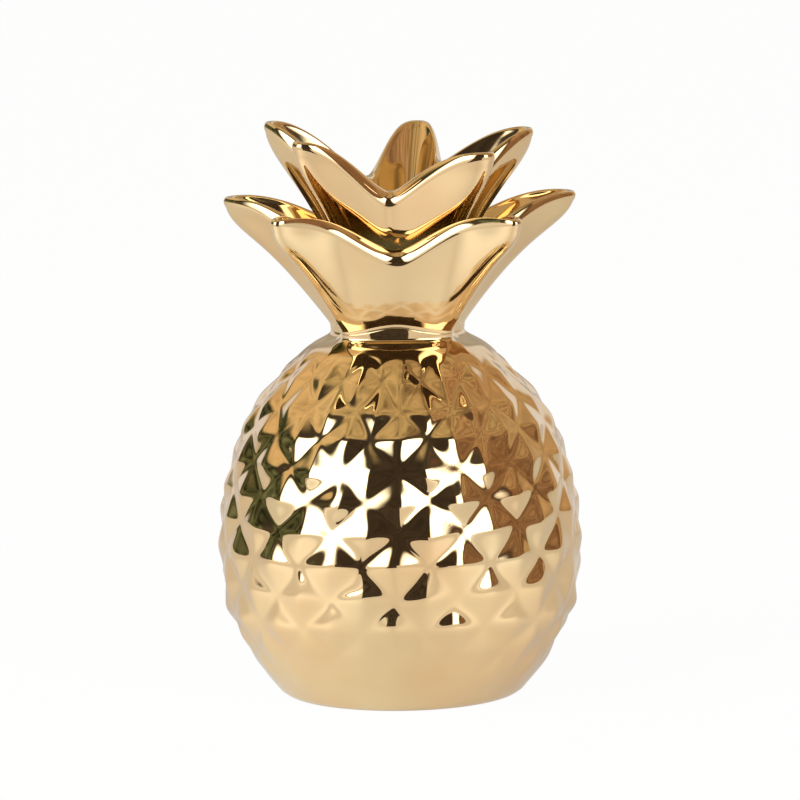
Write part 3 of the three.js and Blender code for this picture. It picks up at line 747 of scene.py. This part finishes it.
def slotLoops(fraction, edgeTurn, edgeHeight, innerHeight):
    # gold loops from the opening's edge over the slot's rounded lip, then clay ones through the wall
    gold, clay = [], []
    lip = coinSlot["round"]
    slotTurn, slotHeight = stadiumOn(fraction, lip, outlineRadius)
    for t in np.linspace(0, 1, coinSlot["skinLoops"] + 1)[1:]:
        share = 1 - (1 - t) ** coinSlot["skinEase"]
        gold.append(fruitSurface(mix(edgeTurn, slotTurn, share), mix(edgeHeight, slotHeight, share)))
    for bend in np.linspace(0, np.pi / 2, coinSlot["lipLoops"] + 1)[1:]:
        loop = fruitSurface(*stadiumOn(fraction, lip * (1 - np.sin(bend)), outlineRadius))
        loop[:, 1] -= lip * (1 - np.cos(bend))
        gold.append(loop)
    innerTurn, innerSlot = stadiumOn(fraction, 0.0, hollowRadius)
    through = hollowSurface(innerTurn, innerSlot)
    for share in coinSlot["wallShares"]:
        clay.append(mix(gold[-1], through, share))
    for t in np.linspace(0, 1, coinSlot["innerLoops"] + 2)[1:-1]:
        clay.append(hollowSurface(mix(innerTurn, edgeTurn, t), mix(innerSlot, innerHeight, t)))
    return gold, clay


def makeFruitBody():
    count = fruit["columns"] * fruit["stationsPerColumn"]
    turns = np.linspace(0, 2 * np.pi, count, endpoint=False)
    heights = ringHeights()
    shape = newShape()
    gold, clay = 0, 1
    # the slot's opening, in rings and columns
    half = int(coinSlot["openAcross"] / outlineRadius(coinSlot["height"]) / (2 * np.pi) * count)
    left, right = count // 2 - half, count // 2 + half
    low = int(np.searchsorted(heights, coinSlot["height"] - coinSlot["openUp"]))
    high = int(np.searchsorted(heights, coinSlot["height"] + coinSlot["openUp"]))
    # outside, from the foot to the ledge under the leaves
    centre = addRings(shape, [[[0, 0, fruit["height"]]]])[0]
    foot = footRings(turns, heights[0])
    outer = addRings(shape, foot + neckRings(turns, heights))
    lowRing, highRing = low + len(foot), high + len(foot)
    joinRings(shape, outer, count, gold, gap=(lowRing, highRing, left, right))
    closeRing(shape, outer[-1], count, centre, gold)
    # underside and hollow, from the foot to the hollow's top
    rings, hollowFloor = undersideRings(turns)
    hollowTop = fruit["height"] - fruit["wall"]
    hollowHeights = np.concatenate([
        np.linspace(hollowFloor, heights[low], fruit["hollowLow"])[:-1], heights[low:high + 1],
        np.linspace(heights[high], hollowTop, fruit["hollowHigh"] + 1)[1:]])
    innerLow = len(rings) + fruit["hollowLow"] - 1
    innerHigh = innerLow + high - low
    inner = addRings(shape, rings + [hollowSurface(turns, height) for height in hollowHeights])
    joinRings(shape, [outer[0]] + inner, count, clay, True, (innerLow + 1, innerHigh + 1, left, right))
    centre = addRings(shape, [[[0, 0, hollowTop]]])[0]
    closeRing(shape, inner[-1], count, centre, clay, True)
    # slot
    edge = openingEdge(lowRing, highRing, left, right)
    innerEdge = openingEdge(innerLow, innerHigh, left, right)
    edgeTurn = turns[[i for _, i in edge]]
    edgeHeight = heights[[k - len(foot) for k, _ in edge]]
    innerHeight = hollowHeights[[k - len(rings) for k, _ in innerEdge]]
    fraction = edgeFractions(high - low, right - left)
    goldLoops, clayLoops = slotLoops(fraction, edgeTurn, edgeHeight, innerHeight)
    indices = [[outer[k] + i for k, i in edge]]
    indices += [range(start, start + len(edge)) for start in addRings(shape, goldLoops + clayLoops)]
    indices.append([inner[k] + i for k, i in innerEdge])
    for k in range(len(indices) - 1):
        for i in range(len(edge)):
            j = (i + 1) % len(edge)
            shape["faces"].append([indices[k][i], indices[k][j], indices[k + 1][j], indices[k + 1][i]])
            shape["kinds"].append(gold if k < len(goldLoops) else clay)
    return finishShape("pineapple_body", shape, [bodyLustre, bareClay])


# Leaf tiers: a bowl of five leaves each, with heights above its seat. Lists run over the tips, or the
# valleys that follow them, from the front left round by the right. Climbs are a valley's two sides.
lowerTier = {
    "tipAngles": [-43.6, 39.8, 106.4, 180, 253.6], "valleyAngles": [-1.5, 73.4, 143.2, 216.8, 285.1],
    "waistTurns": [-6.0, 9.0, 0, 0, 0],
    "reachShares": [0.985, 0.99, 1.0, 0.965, 1.0], "tipShares": [1.0, 0.985, 1.01, 1, 0.995],
    "valleyShares": [1, 1.04, 1.06, 1.06, 1.04],
    "climbs": [[1.22, 1.07], [1.15, 1.15], [1.15, 1.15], [1.15, 1.15], [1.15, 1.15]], "levelling": 2.15,
    "waist": 14.6, "ridgeWaist": 18.4, "ridgeRound": 2.5, "waistShift": -1.0, "joined": True,
    "flat": [1, 0.15, 0, 0, 0.15],
    "reach": 45.3, "tipRise": 29.6, "tipRound": 2.2,
    "valleyRadius": 19.4, "valleyRise": 17.8, "wall": 4.3, "floor": 4.4, "seat": 95.5,
    "flares": [0.03, 0.05, 0.065, 0.05, 0.032], "valleyRim": [3.2, 3.6], "tipRim": [1.4, 1.8],
}
upperTier = {
    "tipAngles": [-46.5, 39.5, 108.3, 171.8, 251.8], "valleyAngles": [-7.5, 74.4, 140, 211.8, 283.4],
    "waistTurns": [0, 0, 0, 0, 0],
    "reachShares": [1, 1, 1, 1, 1], "tipShares": [1, 0.934, 0.965, 0.945, 1.02],
    "valleyShares": [1, 1.03, 1.12, 1, 1.06],
    "climbs": [[1.2, 0.92], [1.06, 1.06], [1.06, 1.8], [1.32, 1.06], [1.06, 1.06]], "levelling": 1.7,
    "waist": 8.8, "ridgeWaist": 11.4, "ridgeRound": 2.0, "waistShift": 0.0, "joined": False,
    "flat": [0, 0, 0, 0, 0],
    "reach": 34.6, "tipRise": 43.2, "tipRound": 2.2,
    "valleyRadius": 16.0, "valleyRise": 28.0, "wall": 4.2, "floor": 4.4, "seat": 100.2,
    "flares": [0.045, 0.05, 0.065, 0.05, 0.045], "valleyRim": [3.2, 3.2], "tipRim": [1.3, 1.9],
}
leaf = {
    "crownShift": 1.0, "valleySoft": 0.14, "rimTaper": 0.6,
    "belly": 1.3, "bellyGrowth": 3, "bellyPower": 6,
    # the flat front panel leans out by so many degrees, and its ridges take this share of each half leaf
    "panelLean": 24.5, "ridgeZone": 0.36,
    "stations": 30, "stationEase": 1.45, "outerSamples": 400, "outerSteps": 34, "rimSteps": 16,
    "innerSteps": 26, "footSteps": 8, "footGap": 0.05,
}


def leafStations():
    return np.linspace(0, 1, leaf["stations"] + 1) ** leaf["stationEase"]


def tipCurve(angle, end, tip, valley, rounding):
    # a conic seen from above: rounded at the tip, through the valley at the end angle
    length, width = tip - valley * math.cos(end), valley * math.sin(end)
    bend = (width ** 2 - 2 * rounding * length) / length ** 2
    a = math.sin(angle) ** 2 - bend * math.cos(angle) ** 2
    b = 2 * math.cos(angle) * (rounding + bend * tip)
    c = 2 * rounding * tip + bend * tip ** 2
    return 2 * c / (b + math.sqrt(max(b * b + 4 * a * c, 0)))


def leafStation(tier, tip, side, share):
    # one place along a half leaf, from its ridge at 0 to the valley beside it at 1
    count = len(tier["tipAngles"])
    valley = tip if side > 0 else (tip + count - 1) % count
    halfSpan = math.radians((side * (tier["valleyAngles"][valley] - tier["tipAngles"][tip])) % 360)
    soft = leaf["valleySoft"]
    angle = halfSpan * (1 - math.hypot(1 - share, soft) / math.hypot(1, soft))
    end = halfSpan * (1 - soft / math.hypot(1, soft))
    azimuth = math.radians(tier["tipAngles"][tip]) + side * share * halfSpan
    waist = tipCurve(angle, end, tier["ridgeWaist"], tier["waist"], tier["ridgeRound"])
    footAzimuth = azimuth + math.radians(tier["waistTurns"][tip]) * (1 - share)
    return valley, angle, end, azimuth, footAzimuth, waist, (1 - share) * halfSpan


def flattened(tier, valley, radius, rise, wide, fromValley, share):
    # the front panel of the lower tier is flat between its two ridges, so that it shows plain floor
    across, away = radius * math.sin(fromValley), radius * math.cos(fromValley)
    slope = math.tan(math.radians(leaf["panelLean"]))
    plane = tier["waist"] + slope * rise - wide * math.hypot(1, slope)
    away = mix(away, plane, tier["flat"][valley] * float(smoothStep(0, leaf["ridgeZone"], share)))
    return math.hypot(across, away), math.atan2(across, away)


def bendPoints(start, middle, end, t):
    t = t[:, None]
    return start * (1 - t) ** 2 + middle * 2 * t * (1 - t) + end * t ** 2


def flaredPoints(start, end, flare, t):
    along = end - start
    side = np.array([-along[1], along[0]]) * flare
    return bendPoints(start, (start + end) / 2 + side, end, t)


def footPoints(start, line, first, tall):
    # a fillet that turns the outer wall upright where it meets the collar
    lean = (line[1][0] - line[0][0]) / (line[1][1] - line[0][1])
    upright = start[0] + lean * (first + tall / 2)
    low, corner = np.array([upright, first]), np.array([upright, first + tall / 2])
    high = np.array([upright + lean * tall / 2, first + tall])
    return bendPoints(low, corner, high, np.linspace(0, 1, leaf["footSteps"] + 1))


def leafSection(tier, tip, side, share):
    valley, angle, end, azimuth, footAzimuth, waist, fromValley = leafStation(tier, tip, side, share)
    tipRadius = tier["reach"] * tier["reachShares"][tip]
    radius = tipCurve(angle, end, tipRadius, tier["valleyRadius"], tier["tipRound"])
    ridge = min(max((radius - tier["valleyRadius"]) / (tipRadius - tier["valleyRadius"]), 0), 1)
    climb = tier["climbs"][valley][0 if side > 0 else 1]
    rise = mix(tier["valleyRise"] * tier["valleyShares"][valley], tier["tipRise"] * tier["tipShares"][tip],
               1 - (1 - ridge ** climb) ** tier["levelling"])
    thin = ridge ** leaf["rimTaper"]
    wide, deep = (mix(a, b, thin) for a, b in zip(tier["valleyRim"], tier["tipRim"]))
    radius, rimFromValley = flattened(tier, valley, radius, rise, wide, fromValley, share)
    rimAzimuth = azimuth + side * (fromValley - rimFromValley)
    lip = np.array([radius, rise])
    start = np.array([waist, 0.0])
    along = (lip - start) / np.linalg.norm(lip - start)
    out = np.array([along[1], -along[0]])
    flare = tier["flares"][tip] * ridge
    t = np.linspace(0, 1, leaf["outerSamples"])
    belly = t ** leaf["bellyPower"] * (1 - t)
    belly *= leaf["belly"] * ridge ** leaf["bellyGrowth"] / belly.max()
    outer = flaredPoints(start, lip + out * wide, flare, t) + out * belly[:, None]
    points = []
    if tier["joined"]:
        first = float(seamHeight(np.array([azimuth]))[0]) - tier["seat"]
        foot = footPoints(start, outer, first, seam["fillet"])
        points += list(foot)
        outer = outer[outer[:, 1] > foot[-1, 1] + leaf["footGap"]]
    steps = np.linspace(0, len(outer) - 1, leaf["outerSteps"] + 1).round().astype(int)
    points += list(outer[steps])
    for bend in np.pi * np.arange(1, leaf["rimSteps"]) / leaf["rimSteps"]:
        points.append(lip + out * wide * math.cos(bend) + along * deep * math.sin(bend))
    innerStart = np.array([waist - tier["wall"], tier["floor"]])
    t = np.linspace(1, 0, leaf["innerSteps"] + 1)
    points = np.array(points + list(flaredPoints(innerStart, lip - out * wide, flare, t)))
    above = np.clip(points[:, 1] / rise, 0, 1)
    placed = spot(mix(footAzimuth, rimAzimuth, above), points[:, 0], points[:, 1] + tier["seat"])
    placed[:, 0] += leaf["crownShift"] + tier["waistShift"] * (1 - above)
    return placed


def makeLeafTier(name, tier):
    stations = leafStations()
    sections = []
    for tip in range(len(tier["tipAngles"])):
        sections += [leafSection(tier, tip, -1, share) for share in stations[-2:0:-1]]
        sections += [leafSection(tier, tip, 1, share) for share in stations]
    rings = np.array(sections).transpose(1, 0, 2)
    count = len(sections)
    # the lower tier's inside and the upper one's outside lie deep between the leaves; thin marks their lustre
    # with painted shade
    gold, thin = 0, 1
    outside, inside = (gold, thin) if tier["joined"] else (thin, gold)
    shape = newShape()
    starts = addRings(shape, rings)
    bottom, top = addRings(shape, [[[leaf["crownShift"], 0, rings[0, :, 2].mean()]],
                                   [[leaf["crownShift"], 0, tier["seat"] + tier["floor"]]]])
    innerStart = len(rings) - leaf["innerSteps"] - 1
    joinRings(shape, starts[:innerStart + 1], count, outside)
    joinRings(shape, starts[innerStart:], count, inside)
    closeRing(shape, starts[0], count, bottom, gold, True)
    closeRing(shape, starts[-1], count, top, inside)
    return finishShape(name, shape, [leafLustre, shadedLustre])


# Rubber stopper: a flange with a pull tab, and a hollow neck. Each table holds places across and up from
# the edge that its name says.
stopper = {
    "flangeRadius": 20.4, "flange": 2.0, "neckLength": 9.0, "taper": 0.6, "neckWall": 3.2, "web": 2.2,
    "tabWidth": 11.0, "tabReach": 2.2, "tabThickness": 1.4, "gap": 0.3, "clearance": 0.3,
    "edgeRound": 0.5, "edgeSteps": 6, "flangeInset": 1.2, "segments": 192, "dimple": 0.45,
    # under the flange: a dimple in the middle and a shallow groove round it
    "underFlange": [(6.0, 0.45), (6.6, 0.35), (7.0, 0.0), (7.6, 0.0),
                    (12.6, 0.0), (13.0, 0.25), (13.6, 0.25), (14.0, 0.0)],
    "neckRoot": [(0.5, 0.0), (0.08, 0.1), (-0.02, 0.5)],
    "neckTaper": [(0.3, 2.6), (0.5, 4.8), (0.8, 6.6)],  # share of the taper, and height
    "neckTip": [(0.0, -1.1), (-0.1, -0.7), (-0.7, -0.08), (-1.1, 0.0)],
    "boreRim": [(0.5, 0.0), (0.1, -0.1), (0.0, -0.5)],
    "boreEnd": [(0.0, 1.2), (-0.3, 0.3), (-1.2, 0.0)],
}


def makeStopper():
    turns = np.linspace(0, 2 * np.pi, stopper["segments"], endpoint=False)
    flangeTop = fruit["recessDepth"] - stopper["gap"]
    flangeBottom = flangeTop - stopper["flange"]
    radius, edge = stopper["flangeRadius"], stopper["edgeRound"]
    # the pull tab stands out of the rim at the back
    x = radius * np.sin(turns)
    tab = np.sqrt(np.clip(1 - (x / (stopper["tabWidth"] / 2)) ** 2, 0, 1)) * (np.cos(turns) < 0)
    rim = radius + stopper["tabReach"] * tab - edge
    rimTop = flangeTop - (stopper["flange"] - stopper["tabThickness"]) * tab - edge
    neck = fruit["holeRadius"] - stopper["clearance"]
    tip = neck - stopper["taper"]
    neckTop = flangeTop + stopper["neckLength"]
    bore = tip - stopper["neckWall"]
    webTop = flangeTop + stopper["web"]
    bends = np.linspace(0, np.pi / 2, stopper["edgeSteps"])
    places = movedTo(stopper["underFlange"], 0.0, flangeBottom)
    places += [(rim + edge * np.sin(bend), flangeBottom + edge * (1 - np.cos(bend))) for bend in bends]
    places += [(rim + edge * np.cos(bend), rimTop + edge * np.sin(bend)) for bend in bends]
    places += [(radius - stopper["flangeInset"], flangeTop)]
    places += movedTo(stopper["neckRoot"], neck, flangeTop)
    places += [(mix(neck, tip, share), flangeTop + above) for share, above in stopper["neckTaper"]]
    places += movedTo(stopper["neckTip"], tip, neckTop)
    places += movedTo(stopper["boreRim"], bore, neckTop)
    places += movedTo(stopper["boreEnd"], bore, webTop)
    shape = newShape()
    starts = addRings(shape, [spot(turns, across, above) for across, above in places])
    bottom, top = addRings(shape, [[[0, 0, flangeBottom + stopper["dimple"]]], [[0, 0, webTop]]])
    joinRings(shape, starts, len(turns), 0)
    closeRing(shape, starts[0], len(turns), bottom, 0, True)
    closeRing(shape, starts[-1], len(turns), top, 0)
    return finishShape("rubber_stopper", shape, [blackRubber])


pieces = [
    (makeFruitBody(), "bank", "fruit_body", "gold_glaze"),
    (makeLeafTier("lower_leaves", lowerTier), "bank", "lower_leaf_tier", "gold_glaze"),
    (makeLeafTier("upper_leaves", upperTier), "bank", "upper_leaf_tier", "gold_glaze"),
    (makeStopper(), "stopper", "base_stopper", "stopper_rubber"),
]
for piece, body, node, slot in pieces:
    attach(piece, body)
    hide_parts(node)
    print("piece made:", piece.name, len(piece.data.polygons), "faces")
